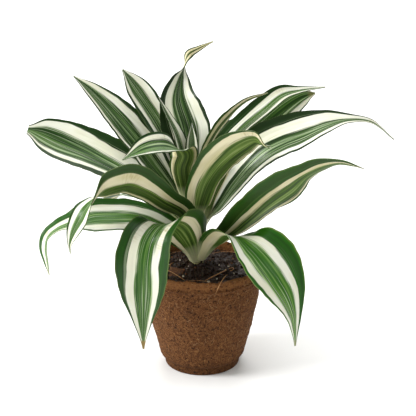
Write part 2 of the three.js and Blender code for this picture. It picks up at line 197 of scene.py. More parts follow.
def edit_all() -> None:
    """Opens the active mesh for editing, with all of it selected."""
    bpy.ops.object.mode_set(mode="EDIT")
    bpy.ops.mesh.select_all(action="SELECT")


def end_edit() -> None:
    """Turns all faces of the open mesh outwards and closes it."""
    bpy.ops.mesh.select_all(action="SELECT")
    bpy.ops.mesh.normals_make_consistent(inside=False)
    bpy.ops.object.mode_set(mode="OBJECT")


def place_points(piece: Object, points: np.ndarray) -> None:
    """Moves a mesh's vertices to new places, in millimetres."""
    piece.data.vertices.foreach_set("co", (points * MM).astype(np.float32).ravel())
    piece.data.update()


def read_points(piece: Object) -> np.ndarray:
    """Gives the places of a mesh's vertices, in millimetres, as an array of rows."""
    points = np.empty(len(piece.data.vertices) * 3, np.float32)
    piece.data.vertices.foreach_get("co", points)
    return points.reshape(-1, 3).astype(float) / MM


def store(piece: Object, name: str, values: np.ndarray) -> None:
    """Stores one number for each vertex, for the materials to read."""
    attribute = piece.data.attributes.new(name, "FLOAT", "POINT")
    attribute.data.foreach_set("value", values.astype(np.float32))


def apply_modifier(piece: Object, kind: str, **settings) -> None:
    """Adds a modifier with its settings and applies it."""
    choose(piece)
    bpy.ops.object.modifier_add(type=kind)
    modifier = piece.modifiers[-1]
    for key, value in settings.items():
        setattr(modifier, key, value)
    bpy.ops.object.modifier_apply(modifier=modifier.name)


def finished(piece: Object, slot: Slot, angle: float, *skins: Material, nodes: tuple[str, ...] = ()) -> None:
    """Args:
        piece: The finished mesh object.
        slot: The record's slot; not used.
        angle: Edges sharper than this many degrees stay sharp.
        *skins: Its materials.
        nodes: The CAD nodes that it stands for.
    """
    choose(piece)
    bpy.ops.object.shade_smooth_by_angle(angle=math.radians(angle))
    for skin in skins:
        piece.data.materials.append(skin)
    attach(piece, BODY)
    if nodes:
        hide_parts(*nodes)
    LOG.info("%s: %d vertices", piece.name, len(piece.data.vertices))


def grain(point: np.ndarray, size: float, offset: float = 0.0) -> float:
    """Smooth noise, from -1 to 1, at a place in millimetres, with lumps about size millimetres apart."""
    x, y, z = point / size
    return noise.noise(Vector((x + offset, y - offset, z + 2 * offset)))


def layered(point: np.ndarray, layers: tuple[Layer, ...]) -> float:
    """Sums layers of noise at a place in millimetres."""
    return sum(height * grain(point, size, offset) for height, size, offset in layers)


def wander(u: np.ndarray, turn: np.ndarray | float) -> np.ndarray:
    """An uneven wave, from -1 to 1, along a share u of a length."""
    waves = ((2.3, 1.0, 0.45), (5.1, 1.7, 0.32), (11.7, 2.9, 0.23))
    return sum(height * np.sin(math.tau * (count * u + lead * turn)) for count, lead, height in waves)


def turned(name: str, profile: list[tuple[float, float]], steps: int) -> Object:
    """Turns a profile about the Z axis into a closed mesh.

    Args:
        name: The new object's name.
        profile: Radius and height of each point in millimetres, starting and ending on the axis.
        steps: Sides of the turned form.

    Returns:
        The new object, with its faces pointing outwards.
    """
    deselect()
    bpy.ops.mesh.primitive_plane_add(size=MM, location=(0, 0, 0))
    piece = newest(name)
    edit_all()
    bpy.ops.mesh.merge(type="CENTER")
    radius, height = profile[0]
    bpy.ops.transform.translate(value=(radius * MM, 0, height * MM))
    for (r0, z0), (r1, z1) in zip(profile, profile[1:]):
        step = ((r1 - r0) * MM, 0, (z1 - z0) * MM)
        bpy.ops.mesh.extrude_region_move(TRANSFORM_OT_translate={"value": step})
    bpy.ops.mesh.select_all(action="SELECT")
    bpy.ops.mesh.spin(steps=steps, angle=math.tau, center=(0, 0, 0), axis=(0, 0, 1))
    bpy.ops.mesh.select_all(action="SELECT")
    bpy.ops.mesh.remove_doubles(threshold=1e-6)
    end_edit()
    return piece


def rod(name: str, sides: int, rows: int) -> Object:
    """A closed round rod of radius 1 mm that stands from 0 to 1 mm, split into rows of faces.

    Args:
        name: The new object's name.
        sides: Its sides.
        rows: Rows of faces along it.

    Returns:
        The new object.
    """
    deselect()
    bpy.ops.mesh.primitive_circle_add(vertices=sides, radius=MM, fill_type="NGON", location=(0, 0, 0))
    piece = newest(name)
    edit_all()
    for _ in range(rows):
        bpy.ops.mesh.extrude_region_move(TRANSFORM_OT_translate={"value": (0, 0, MM / rows)})
    end_edit()
    return piece


def walk(points: list[tuple[float, float]], step: float) -> list[tuple[float, float]]:
    """Places points evenly along a profile.

    Args:
        points: Corners of the profile, as radius and height.
        step: Wanted spacing in millimetres.

    Returns:
        The evenly spaced points, with the first and last corner kept.
    """
    corners = np.array(points, float)
    length = np.concatenate([[0], np.cumsum(np.linalg.norm(np.diff(corners, axis=0), axis=1))])
    places = np.linspace(0, length[-1], max(2, round(length[-1] / step) + 1))
    radii, heights = (np.interp(places, length, corners[:, k]) for k in (0, 1))
    return list(zip(radii.tolist(), heights.tolist()))


# ---------------------------------------------------------------- finishes


@dataclass(frozen=True)
class Greens:
    """The greens of a leaf: veins of the centre from dark to light, the margin and its outermost edge."""

    centre: tuple[str, str, str, str]
    margin: str
    edge: str


@dataclass(frozen=True)
class LeafFinish:
    """The waxy skin of one side of a dracaena leaf.

    It grows in bands along the blade: a green margin, a cream band and a green centre made of many fine veins
    of different greens. The mesh carries where each point lies across the bands and along the blade.
    """

    side: Side
    # Painted shade and painted light: a shaded and a lit copy of the same greens, which each leaf mixes by
    # how lit it is painted.
    shaded: Greens
    lit: Greens
    cream: tuple[str, str]
    roughness: float
    hair: float  # strength of the finest pale lines
    vein_count: float = 13.0  # veins across half a blade that is all centre
    vein_places: tuple[float, ...] = (0.36, 0.49, 0.60, 0.73)  # where in the noise the four greens lie
    fold_colour: str = "#a79a6c"
    sheath_colour: str = "#ecedbe"
    dry_colour: str = "#86713f"

    def material(self) -> Material:
        """Builds the material."""
        material, tree = new_material(f"leaf_{self.side.value}_skin")
        names = ("band", "along", "leaf_seed", "brightness", "dryness", "sheath", "crease")
        read = {name: add_node(tree, "Attribute", attribute_name=name).outputs["Fac"] for name in names}
        band, along = read["band"], read["along"]
        palest = self.shaded.centre[-1]

        def strands(across: float, length: float, shift: float, detail: float) -> Node:
            """Noise drawn out along the blade.

            Args:
                across: Grains from the middle to the margin.
                length: Grains in each 100 mm along the blade.
                shift: Moves the noise, so that two layers differ.
                detail: Finer layers in the noise.

            Returns:
                The noise node.
            """
            z = add_node(tree, "Math", {0: read["leaf_seed"], 1: shift}, operation="ADD")
            parts = {"X": product(tree, band, across), "Y": product(tree, along, length), "Z": z}
            place = add_node(tree, "CombineXYZ", parts)
            return speckle(tree, place, 1.0, detail, Roughness=0.55)

        def moved(base: Feed, by: Node, share: float) -> Node:
            """Moves a place across the bands by noise about its middle."""
            offset = add_node(tree, "Math", {0: by, 1: 0.5}, operation="SUBTRACT")
            return add_node(tree, "Math", {0: offset, 1: share, 2: base}, operation="MULTIPLY_ADD")

        drift = strands(2.0, 2.4, 11.0, 2.0)
        fray = strands(26.0, 2.2, 5.0, 2.0)
        veins = strands(self.vein_count, 0.9, 0.0, 4.0)
        hairs = strands(3.0 * self.vein_count, 1.1, 17.0, 1.0)
        swayed = moved(band, drift, 0.24)
        inner = add_node(tree, "Math", {0: moved(swayed, fray, 0.26)}, operation="ABSOLUTE")
        outer = add_node(tree, "Math", {0: moved(swayed, fray, 0.07)}, operation="ABSOLUTE")
        straight = add_node(tree, "Math", {0: band}, operation="ABSOLUTE")

        # Painted light: the centre's veins go from the shaded greens to the lit greens as the leaf's painted
        # light rises.
        stops = (list(zip(self.vein_places, greens.centre)) for greens in (self.shaded, self.lit))
        green = blend(tree, read["brightness"], *(ramp(tree, veins, colours) for colours in stops))
        green = blend(tree, rise(tree, hairs, 0.58, 0.68, self.hair), green, palest)

        cream = blend(tree, rise(tree, drift, 0.35, 0.65), *self.cream)
        cream = blend(tree, rise(tree, fray, 0.60, 0.74, 0.35), cream, palest)
        squeezed = {"X": product(tree, band, 2.5), "Y": product(tree, along, 62.0)}
        wrinkle = speckle(tree, add_node(tree, "CombineXYZ", squeezed), 1.0, 2.0)
        fold = product(tree, rise(tree, wrinkle, 0.48, 0.62), read["crease"])
        cream = blend(tree, product(tree, fold, 0.55), cream, self.fold_colour)

        # Painted light on the margin: from its shaded green to its lit green.
        margin = blend(tree, read["brightness"], self.shaded.margin, self.lit.margin)
        margin = blend(tree, rise(tree, veins, 0.40, 0.62, 0.5), margin, self.shaded.margin)
        near_cream = rise(tree, straight, 0.80, 0.68)
        lines = product(tree, rise(tree, hairs, 0.56, 0.66, 0.35), near_cream)
        margin = blend(tree, lines, margin, palest)

        skin = blend(tree, rise(tree, inner, 0.29, 0.38), green, cream)
        skin = blend(tree, rise(tree, outer, 0.645, 0.675), skin, margin)
        # Painted light on the outermost edge: from its shaded colour to its lit colour.
        rim = blend(tree, read["brightness"], self.shaded.edge, self.lit.edge)
        skin = blend(tree, rise(tree, straight, 0.955, 0.985, 0.7), skin, rim)
        skin = blend(tree, product(tree, read["sheath"], 0.9), skin, self.sheath_colour)
        dry = rise(tree, moved(read["dryness"], fray, 0.5), 0.35, 0.75)
        skin = blend(tree, dry, skin, self.dry_colour)

        relief = add_node(tree, "Math", {0: fold, 1: 0.6, 2: veins}, operation="MULTIPLY_ADD")
        span = {"Value": veins, "To Min": self.roughness - 0.06, "To Max": self.roughness + 0.1}
        shade(tree, {
            "Base Color": skin,
            "Roughness": add_node(tree, "MapRange", span),
            "Normal": add_node(tree, "Bump", {"Height": relief, "Strength": 0.3, "Distance": 0.3 * MM}),
            "IOR": 1.38,
            "Specular IOR Level": 0.4,
            "Subsurface Weight": 0.05,
            "Subsurface Radius": (0.4, 0.6, 0.15),
            "Subsurface Scale": 1.2 * MM,
        })
        return material


@dataclass(frozen=True)
class FibreFinish:
    """Pressed wood and peat fibre: a matt felt of short pale and dark fibres with small pits, painted lighter
    on the lip as a highlight and darker towards the foot as painted shade.
    """

    base: str = "#5a361c"
    shade: str = "#38200f"
    pale: str = "#8c623b"
    pit: str = "#1a0e07"
    # Painted highlight: the lighter brown laid on the lip, where light from above falls.
    lip: str = "#8a5c34"
    felt_size: float = 1.7 * MM
    pit_size: float = 2.2 * MM
    cloud_size: float = 15.0 * MM
    strand_size: float = 2.6 * MM
    # Heights where the painted highlight on the lip begins and where the painted shade towards the foot ends.
    lit_lip_from: float = 91.0 * MM
    shaded_foot_to: float = 16.0 * MM

    def material(self) -> Material:
        """Builds the material."""
        material, tree = new_material("moulded_pulp")
        place = add_node(tree, "TexCoord").outputs["Object"]
        height = add_node(tree, "SeparateXYZ", {0: place}).outputs["Z"]
        cloud = speckle(tree, place, self.cloud_size, Distortion=0.6)
        felt = speckle(tree, place, self.felt_size, 5.0, Roughness=0.72, Distortion=1.6)
        pits = speckle(tree, place, self.pit_size, 3.0, Roughness=0.6)
        body = ramp(tree, felt, [(0.36, self.shade), (0.50, self.base), (0.63, self.pale)])
        body = blend(tree, rise(tree, cloud, 0.50, 0.70, 0.3), body, self.shade)
        # Painted highlight: the lip is lightened from its height up.
        body = blend(tree, rise(tree, height, self.lit_lip_from, self.lit_lip_from + 5 * MM, 0.5), body, self.lip)
        # Painted shade: the wall darkens towards the foot.
        body = blend(tree, rise(tree, height, self.shaded_foot_to, self.shaded_foot_to - 8 * MM, 0.4), body, self.shade)
        for stretch, shift in (((1.0, 1.0, 4.0), 0.0), ((2.6, 2.6, 1.0), 3.0)):
            laid = {"Vector": place, "Scale": stretch, "Location": (shift, 0, 0)}
            strand = speckle(tree, add_node(tree, "Mapping", laid), self.strand_size, 2.0, Distortion=3.0)
            body = blend(tree, rise(tree, strand, 0.63, 0.68, 0.6), body, self.pale)
            body = blend(tree, rise(tree, strand, 0.36, 0.31, 0.55), body, self.pit)
        pit = rise(tree, pits, 0.585, 0.65, 0.85)
        body = blend(tree, pit, body, self.pit)
        depth = add_node(tree, "Math", {0: felt, 1: pit}, operation="SUBTRACT")
        bump = add_node(tree, "Bump", {"Height": depth, "Strength": 1.0, "Distance": 0.8 * MM})
        shade(tree, {"Base Color": body, "Normal": bump, "Roughness": 0.95, "Specular IOR Level": 0.15})
        return material


@dataclass(frozen=True)
class GrainFinish:
    """A rough natural crumb, chip or strand: two tones mixed by the size of its grain."""

    name: str
    dark: str
    light: str
    grain_size: float
    roughness: float
    bump: float = 0.4

    def material(self) -> Material:
        """Builds the material."""
        material, tree = new_material(self.name)
        place = add_node(tree, "TexCoord").outputs["Object"]
        fine = speckle(tree, place, self.grain_size, 4.0, Roughness=0.65)
        tone = ramp(tree, fine, [(0.38, self.dark), (0.70, self.light)])
        span = {"Value": fine, "From Min": 0.35, "From Max": 0.65}
        wet = add_node(tree, "MapRange", {**span, "To Min": self.roughness - 0.35, "To Max": self.roughness})
        bump = add_node(tree, "Bump", {"Height": fine, "Strength": self.bump, "Distance": 0.5 * MM})
        shade(tree, {"Base Color": tone, "Roughness": wet, "Normal": bump, "Specular IOR Level": 0.3})
        return material


@dataclass(frozen=True)
class ShootFinish:
    """The young shoot: smooth skin, streaked pale green and cream, with a brown line at each leaf scar."""

    green: str = "#8a9450"
    cream: str = "#cfcb98"
    scar: str = "#837246"

    def material(self) -> Material:
        """Builds the material."""
        material, tree = new_material("shoot_skin")
        place = add_node(tree, "TexCoord").outputs["Object"]
        stretched = add_node(tree, "Mapping", {"Vector": place, "Scale": (1.0, 1.0, 0.12)})
        streaks = speckle(tree, stretched, 1.2 * MM)
        skin = ramp(tree, streaks, [(0.35, self.green), (0.65, self.cream)])
        ring = add_node(tree, "Attribute", attribute_name="scar").outputs["Fac"]
        skin = blend(tree, ring, skin, self.scar)
        bump = add_node(tree, "Bump", {"Height": streaks, "Strength": 0.2, "Distance": 0.2 * MM})
        shade(tree, {"Base Color": skin, "Normal": bump, "Roughness": 0.5})
        return material


# ---------------------------------------------------------------- leaves


@dataclass
class LeafShape:
    """One leaf: its line and form, as in the model's source, and its growth pattern.

    Attributes:
        name: The leaf's name, without "leaf_".
        cup: Half-angle of the gutter along the blade, in degrees.
        wave: Height in millimetres, number and start of the waves of the margins.
        brightness: How lit its greens are painted, from 0 to 1: 0 gives the shaded greens as painted shade, 1
            the lit greens as painted light.
        dry: How dry the tip is, from 0 to 1.
        bands: Rows of a share of the length and the shares of the width there: margin, cream, cream, margin
            from one edge to the other. The rest is centre.
        midrib: Rows, from the base, of a place in millimetres, compass way and tilt of the upper side in
            degrees, and width.
    """

    name: str
    cup: float
    wave: tuple[float, float, float]
    brightness: float
    dry: float
    bands: list[BandRow]
    midrib: list[Station]


LEAVES = [
    LeafShape("spear", 40, (0, 1, 0), 0.15, 0, [(0.5, 0.10, 0.14, 0.18, 0.08)], [
        (-10, 4, 176.4, -90, 0, 7), (-9, 8, 195, -90, 4, 13), (-9, 11, 212, -90, 4, 11),
        (-9, 13, 227, -90, 4, 1)]),
    LeafShape("inner_upright", 35, (0.6, 1.5, 0.2), 0.15, 0, [(0.5, 0.13, 0.08, 0.26, 0.06)], [
        (-13, 6, 169, -35, 0, 10), (-15, 9, 189, -45, 5, 14), (-22, 13, 215, -40, 8, 14),
        (-30, 18, 231, -35, 8, 10), (-39, 23, 248, -30, 5, 1.2)]),
    LeafShape("top_twisted", 24, (1, 1.5, 0.1), 0.1, 0, [
        (0.3, 0.24, 0.14, 0.24, 0.05), (0.55, 0.14, 0.20, 0.24, 0.06), (0.78, 0.16, 0.26, 0.24, 0.14)], [
        (-10, 8, 159, -75, 0, 13), (-11, 14, 187, -88, 8, 31), (-14, 21, 218, -90, 12, 45),
        (-21, 30, 245, -88, 12, 34), (-19, 36, 262, -80, 10, 17), (-16, 39, 272, -10, 5, 6),
        (-12, 42, 282, 60, 0, 8), (-3, 44, 287, 80, -10, 5), (10, 46, 293, 85, -10, 1)]),
    LeafShape("upper_left_inner", 26, (1, 2, 0.3), 0.2, 0, [
        (0.3, 0.16, 0.08, 0.14, 0.20), (0.6, 0.14, 0.12, 0.16, 0.12), (0.9, 0.07, 0.14, 0.26, 0.05)], [
        (-13, 7, 155, -45, 5, 12), (-20, 15, 184, -55, 15, 22), (-32, 26, 210, -60, 22, 28),
        (-46, 38, 231, -60, 25, 27), (-59, 46, 249, -60, 22, 24), (-65, 49, 257, -60, 20, 15),
        (-72, 51, 266, -60, 20, 2)]),
    LeafShape("centre_folded", 28, (0.8, 1.5, 0.4), 0.3, 0, [
        (0.3, 0.05, 0.12, 0.05, 0.06), (0.6, 0.06, 0.03, 0.14, 0.10), (0.9, 0.07, 0.04, 0.18, 0.10)], [
        (-12, -4, 154, 90, 0, 10), (-15, -10, 174, 92, 2, 17), (-17, -15, 194, 95, 5, 23),
        (-15, -19, 207, 100, 25, 25), (-21, -25, 215, -120, 75, 24), (-33, -32, 222, -95, 50, 23),
        (-49, -37, 221, -95, 42, 19), (-68, -40, 210, -95, 40, 1)]),
    LeafShape("upper_right_edge", 30, (0.8, 2, 0.6), 0.4, 0, [(0.5, 0.10, 0.20, 0.24, 0.12)], [
        (-5, 0, 161, 130, 0, 10), (1, 1, 198, 130, 5, 12), (11, 3, 220, 135, 10, 12),
        (25, 6, 237, 135, 18, 11), (40, 9, 249, 120, 28, 7), (58, 12, 255, 105, 30, 1.2)]),
    LeafShape("back_right_high", 24, (1.2, 2, 0.1), 0.3, 0, [(0.5, 0.16, 0.16, 0.20, 0.12)], [
        (-6, 9, 150, -110, 0, 12), (3, 28, 174, -118, 15, 24), (22, 58, 195, -118, 40, 34),
        (46, 86, 202, -118, 68, 30), (70, 112, 190, 62, 75, 2)]),
    LeafShape("back_left_high", 24, (1.2, 2, 0.6), 0.3, 0, [(0.5, 0.10, 0.20, 0.15, 0.18)], [
        (-10, 9, 147, -72, 0, 12), (-14, 27, 168, -68, 20, 24), (-25, 52, 187, -66, 45, 34),
        (-38, 82, 195, -66, 72, 30), (-50, 110, 184, 114, 75, 2)]),
    LeafShape("upper_right_long", 26, (1, 2, 0.9), 0.3, 0.4, [
        (0.2, 0.28, 0.22, 0.10, 0.05), (0.55, 0.34, 0.20, 0.09, 0.04), (0.9, 0.14, 0.34, 0.14, 0.06)], [
        (-4, 6, 148, -135, 5, 12), (2, 7, 172, -112, 10, 16), (13, 8, 199, -108, 20, 17),
        (25, 12, 215, -105, 28, 19), (39, 17, 228, -102, 30, 19), (54, 22, 239, -100, 32, 19),
        (71, 28, 250, -98, 35, 15), (88, 33, 252, -96, 40, 7), (111, 38, 253, -95, 35, 1.2)]),
    LeafShape("upper_right_short", 24, (1.2, 2, 0.2), 0.25, 0.5, [
        (0.3, 0.06, 0.12, 0.14, 0.06), (0.85, 0.03, 0.08, 0.20, 0.05)], [
        (-3, 8, 146, -125, 5, 13), (16, 15, 176, -112, 18, 23), (43, 23, 208, -110, 24, 28),
        (61, 29, 223, -110, 26, 28), (78, 34, 236, -110, 26, 25), (91, 37, 244, -110, 24, 17),
        (102, 39, 247, -110, 20, 2)]),
    LeafShape("upper_left", 26, (1, 2, 0.5), 0.2, 0, [
        (0.25, 0.03, 0.05, 0.20, 0.24), (0.6, 0.05, 0.05, 0.25, 0.13), (0.92, 0.07, 0.10, 0.26, 0.04)], [
        (-14, 7, 144, -25, 10, 13), (-24, 12, 166, -50, 30, 26), (-38, 20, 186, -65, 38, 38),
        (-58, 30, 209, -70, 38, 36), (-83, 39, 234, -70, 35, 26), (-100, 43, 249, -70, 32, 15),
        (-116, 46, 261, -70, 30, 1.5)]),
    LeafShape("back_middle", 22, (1.5, 1.5, 0.5), 0.5, 0, [(0.5, 0.14, 0.17, 0.17, 0.16)], [
        (-8, 9, 138, -85, 5, 12), (-6, 28, 160, -85, 30, 26), (-3, 56, 177, -85, 65, 38),
        (0, 90, 172, 95, 68, 34), (3, 122, 144, 95, 48, 2)]),
    LeafShape("centre_curled", 26, (0.8, 1.5, 0.7), 0.5, 0.4, [
        (0.2, 0.03, 0.05, 0.26, 0.05), (0.6, 0.03, 0.04, 0.22, 0.12), (0.9, 0.02, 0.05, 0.20, 0.04)], [
        (-6, -6, 136, 98, 0, 15), (-3, -12, 158, 100, 2, 24), (3, -19, 182, 108, 5, 33),
        (16, -27, 205, 112, 10, 38), (34, -34, 221, 112, 18, 35), (46, -39, 227, 110, 32, 24),
        (54, -43, 223, 60, 70, 9), (59, -41, 222, -90, 40, 2)]),
    LeafShape("back_left_mid", 22, (1.5, 2, 0.2), 0.5, 0, [(0.5, 0.18, 0.13, 0.20, 0.12)], [
        (-13, 8, 138, -40, 5, 12), (-22, 21, 157, -40, 30, 24), (-43, 41, 174, -40, 52, 32),
        (-70, 61, 180, -40, 72, 28), (-97, 79, 174, 140, 85, 2)]),
    LeafShape("back_right_mid", 22, (1.5, 2, 0.7), 0.5, 0, [(0.5, 0.12, 0.18, 0.14, 0.17)], [
        (-3, 8, 138, -130, 5, 12), (8, 22, 160, -132, 25, 24), (30, 44, 181, -135, 45, 32),
        (56, 65, 190, -135, 62, 28), (84, 85, 184, 45, 85, 2)]),
    LeafShape("right_arch", 22, (2, 2.5, 0.1), 0.1, 0.4, [
        (0.25, 0.26, 0.24, 0.07, 0.03), (0.55, 0.22, 0.28, 0.10, 0.05), (0.8, 0.07, 0.40, 0.14, 0.05)], [
        (0, 0, 134, 172, 0, 13), (12, -5, 157, -125, 15, 24), (27, -9, 184, -106, 28, 32),
        (50, -12, 211, -100, 36, 37), (69, -13, 222, -98, 38, 36), (87, -14, 229, -98, 38, 35),
        (110, -16, 237, -96, 38, 22), (127, -18, 240, -96, 42, 9), (147, -19, 238, -80, 45, 3.5),
        (167, -20, 222, -70, 35, 1)]),
    LeafShape("right_inner", 26, (0.8, 2, 0.4), 0.4, 0, [(0.5, 0.12, 0.20, 0.12, 0.10)], [
        (1, -3, 131, 150, 0, 11), (6, -6, 150, 120, 4, 14), (11, -7, 167, 110, 6, 14),
        (18, -8, 181, 108, 8, 11), (25, -9, 194, 108, 10, 1.5)]),
    LeafShape("far_left", 22, (1, 1.5, 0.3), 0.25, 0, [
        (0.2, 0.07, 0.07, 0.27, 0.28), (0.55, 0.12, 0.08, 0.25, 0.20), (0.82, 0.09, 0.09, 0.22, 0.06),
        (0.95, 0.07, 0.12, 0.16, 0.08)], [
        (-13, 4, 136, -10, 10, 13), (-27, 8, 155, -60, 40, 26), (-47, 11, 171, -80, 48, 36),
        (-74, 16, 187, -85, 48, 42), (-101, 21, 198, -85, 45, 43), (-128, 24, 207, -85, 42, 40),
        (-144, 25, 213, -85, 40, 30), (-157, 25, 217, -85, 40, 9)]),
    LeafShape("left_folded", 24, (1, 1.5, 0.6), 0.45, 0.4, [
        (0.25, 0.26, 0.14, 0.08, 0.08), (0.55, 0.21, 0.28, 0.06, 0.03), (0.8, 0.05, 0.22, 0.22, 0.10),
        (0.92, 0.05, 0.26, 0.24, 0.10)], [
        (-9, -5, 127, 70, 0, 14), (-16, -15, 151, 80, 5, 24), (-31, -27, 166, 88, 12, 27),
        (-46, -37, 181, 90, 22, 32), (-63, -45, 191, 92, 32, 42), (-82, -53, 187, 100, 42, 40),
        (-94, -60, 178, 170, 60, 30), (-103, -63, 166, -125, 45, 23), (-111, -61, 150, -110, 30, 12),
        (-114, -59, 139, -105, 20, 4), (-114, -57, 130, -105, 15, 1)]),
    LeafShape("right_under", 24, (1.5, 2.5, 0.1), 0.5, 0, [(0.5, 0.20, 0.30, 0.12, 0.10)], [
        (0, 4, 126, -165, 0, 12), (16, 7, 152, 120, 20, 20), (32, 11, 172, 105, 30, 24),
        (47, 14, 186, 100, 35, 22), (62, 16, 198, 100, 30, 2)]),
    LeafShape("back_right_low", 22, (1.5, 1.5, 0.9), 0.8, 0, [(0.5, 0.18, 0.14, 0.16, 0.18)], [
        (-3, 8, 126, -120, 5, 13), (3, 22, 140, -112, 30, 22), (10, 38, 149, -112, 62, 26),
        (16, 53, 150, 68, 85, 22), (21, 66, 145, 68, 70, 2)]),
    LeafShape("right_low", 24, (2.6, 2.5, 0.3), 0.7, 0.5, [
        (0.2, 0.04, 0.05, 0.13, 0.40), (0.5, 0.06, 0.03, 0.10, 0.33), (0.85, 0.10, 0.03, 0.13, 0.32)], [
        (1, -3, 119, 135, 0, 14), (19, -11, 128, 110, 12, 20), (37, -19, 147, 103, 14, 32),
        (56, -27, 167, 102, 18, 40), (75, -33, 183, 102, 22, 37), (88, -37, 195, 104, 26, 25),
        (103, -40, 204, 106, 30, 24), (119, -42, 208, 110, 40, 10), (130, -43, 206, 90, 50, 4),
        (139, -43, 203, 60, 60, 1)]),
    LeafShape("back_left_low", 22, (1.5, 1.5, 0.3), 0.8, 0, [(0.5, 0.20, 0.14, 0.18, 0.16)], [
        (-11, 7, 122, -40, 5, 13), (-25, 20, 139, -38, 35, 28), (-52, 40, 149, -36, 70, 38),
        (-82, 60, 139, 144, 68, 32), (-104, 75, 104, 144, 35, 2)]),
    LeafShape("left_low", 22, (1.5, 2, 0.8), 0.8, 0.5, [
        (0.2, 0.03, 0.24, 0.20, 0.17), (0.55, 0.02, 0.26, 0.19, 0.15), (0.75, 0.03, 0.12, 0.24, 0.28),
        (0.95, 0.04, 0.05, 0.34, 0.26)], [
        (-11, -2, 114, 32, 10, 14), (-28, -8, 132, -62, 50, 26), (-54, -20, 149, -85, 60, 36),
        (-79, -32, 155, -90, 62, 38), (-97, -38, 156, -95, 52, 33), (-114, -42, 153, -122, 70, 26),
        (-126, -44, 149, -135, 68, 22), (-135, -44, 141, -150, 50, 20), (-138, -44, 130, -145, 20, 16),
        (-137, -43, 118, -140, 5, 9), (-135, -41, 103, -140, 0, 1)]),
    LeafShape("back_hanging", 22, (1.2, 1.5, 0.6), 0.9, 0, [(0.5, 0.19, 0.13, 0.14, 0.19)], [
        (-6, 8, 112, -80, 10, 14), (-11, 27, 131, -75, 45, 30), (-14, 56, 133, 105, 72, 40),
        (-17, 78, 106, 105, 25, 34), (-19, 86, 56, 105, 5, 2)]),
    LeafShape("front_left", 22, (1.2, 1.5, 0.2), 0.6, 1, [
        (0.2, 0.20, 0.18, 0.14, 0.10), (0.42, 0.20, 0.13, 0.16, 0.19), (0.62, 0.17, 0.13, 0.17, 0.20),
        (0.72, 0.13, 0.13, 0.19, 0.12), (0.88, 0.04, 0.20, 0.20, 0.06)], [
        (-4, -6, 101, 100, 5, 17), (-8, -16, 123, 112, 18, 35), (-15, -28, 141, 118, 28, 46),
        (-26, -40, 151, 125, 52, 47), (-37, -51, 153, -140, 75, 45), (-46, -60, 144, -98, 50, 45),
        (-51, -65, 125, -92, 24, 48), (-52, -65, 99, -90, 8, 40), (-52, -62, 67, -90, 2, 17),
        (-52, -58, 39, -90, 0, 1.5)]),
    LeafShape("front_right", 22, (1.2, 1.5, 0.7), 1, 0.5, [
        (0.15, 0.14, 0.10, 0.36, 0.10), (0.38, 0.30, 0.13, 0.17, 0.05), (0.65, 0.25, 0.14, 0.14, 0.05),
        (0.88, 0.12, 0.16, 0.18, 0.06)], [
        (1, -5, 102, 130, 0, 17), (11, -16, 122, 112, 18, 30), (22, -27, 134, 108, 38, 38),
        (34, -38, 137, 95, 70, 44), (46, -47, 133, -70, 54, 49), (59, -55, 121, -62, 34, 55),
        (72, -58, 100, -60, 20, 45), (80, -58, 74, -60, 10, 20), (82, -57, 57, -60, 5, 8),
        (83, -56, 41, -60, 5, 1.5)]),
]


